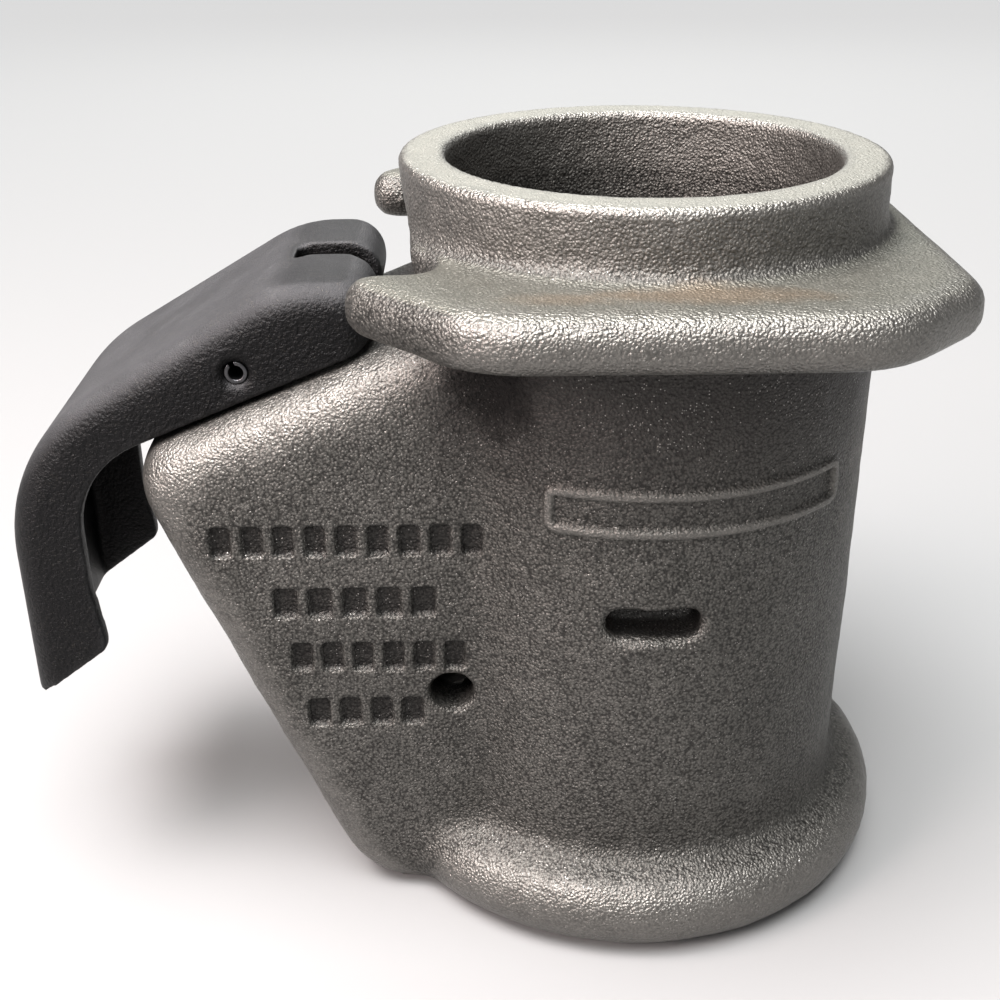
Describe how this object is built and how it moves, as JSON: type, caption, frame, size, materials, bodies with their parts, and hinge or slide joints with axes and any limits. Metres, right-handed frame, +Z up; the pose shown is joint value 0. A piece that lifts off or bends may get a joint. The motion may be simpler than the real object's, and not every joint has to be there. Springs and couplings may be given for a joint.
{
  "type": "gooseneck ball coupler",
  "caption": "Cast iron round gooseneck ball coupler for a trailer, with a tube spigot and flange, a sliding spring latch block under the ball, and a black lever handle that lifts it.",
  "frame": {"origin": "on the barrel's axis, level with the bottom lip", "axes": "+Z up along the barrel's axis towards the tube spigot, -X towards the latch housing and the handle"},
  "size_m": [0.198, 0.141, 0.1645],
  "materials": {
    "cast_iron": "raw sand-cast iron, fine grain, satin sheen",
    "block_iron": "cast iron with a machined ball groove",
    "bright_steel": "turned, lightly oiled",
    "spring_steel": "dark phosphated spring steel",
    "bronze": "sintered bronze",
    "black_moulding": "pebbled charcoal-black moulding"
  },
  "bodies": {
    "casting": {"coupler_body": "cast_iron", "stem_guide_bush": "bronze", "upper_spring_washer": "bright_steel", "latch_spring": "spring_steel"},
    "latch": {"latch_block": "block_iron", "latch_stem": "bright_steel", "stem_block_pin": "bright_steel", "lower_spring_washer": "bright_steel"},
    "lever": {"handle": "black_moulding", "handle_roll_pin": "spring_steel"}
  },
  "joints": [
    {"name": "latch_slide", "type": "slide", "parent": "casting", "child": "latch", "axis": [-0.3827, 0, 0.9239], "range_m": [0, 0.015], "stiffness_N_per_m": 17000, "springref_m": -0.006, "deforming": ["latch_spring"]},
    {"name": "handle_hinge", "type": "hinge", "parent": "latch", "child": "lever", "pos_m": [-0.08364, 0, 0.12641], "axis": [0, 1, 0], "range_deg": [0, 40]}
  ],
  "couplings": [
    {"joint": "handle_hinge", "follows": "latch_slide", "rad_per_m": 46.54}
  ]
}
